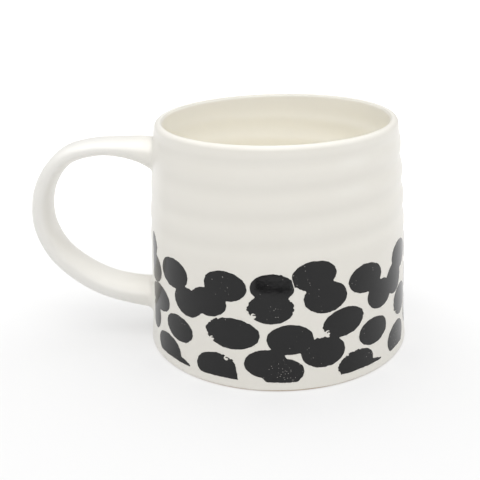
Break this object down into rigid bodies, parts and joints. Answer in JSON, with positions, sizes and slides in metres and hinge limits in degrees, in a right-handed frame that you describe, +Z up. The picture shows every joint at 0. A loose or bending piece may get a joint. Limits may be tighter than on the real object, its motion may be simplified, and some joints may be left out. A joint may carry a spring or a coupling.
{
  "type": "stoneware mug",
  "caption": "Wheel-thrown stoneware mug with a slightly tapered wall, a pulled loop handle and a printed band of black oval spots round the lower wall.",
  "frame": {"origin": "centre of the flat unglazed base, at the height of the table", "axes": "+Z up along the axis of the cup, -X towards the handle, -Y towards the side with the front transfer sheet"},
  "size_m": [0.1337, 0.0935, 0.08],
  "materials": {
    "stoneware": "matte",
    "slip": "matte",
    "liner_glaze": "gloss",
    "outer_glaze": "satin",
    "black_print": "satin"
  },
  "bodies": {
    "root": {"cup_body": "stoneware", "handle": "stoneware", "upper_slip": "slip", "lower_slip": "slip", "liner_glaze": "liner_glaze", "outer_glaze": "outer_glaze", "front_spots_1": "black_print", "front_spots_2": "black_print", "front_spots_3": "black_print", "front_spots_4": "black_print", "front_spots_5": "black_print", "front_spots_6": "black_print", "front_spots_7": "black_print", "front_spots_8": "black_print", "front_spots_9": "black_print", "front_spots_10": "black_print", "front_spots_11": "black_print", "front_spots_12": "black_print", "front_spots_13": "black_print", "front_spots_14": "black_print", "back_spots_1": "black_print", "back_spots_2": "black_print", "back_spots_3": "black_print", "back_spots_4": "black_print", "back_spots_5": "black_print", "back_spots_6": "black_print", "back_spots_7": "black_print", "back_spots_8": "black_print", "back_spots_9": "black_print", "back_spots_10": "black_print", "back_spots_11": "black_print", "back_spots_12": "black_print", "back_spots_13": "black_print", "back_spots_14": "black_print", "side_spots_1": "black_print", "side_spots_2": "black_print", "side_spots_3": "black_print"}
  },
  "joints": []
}
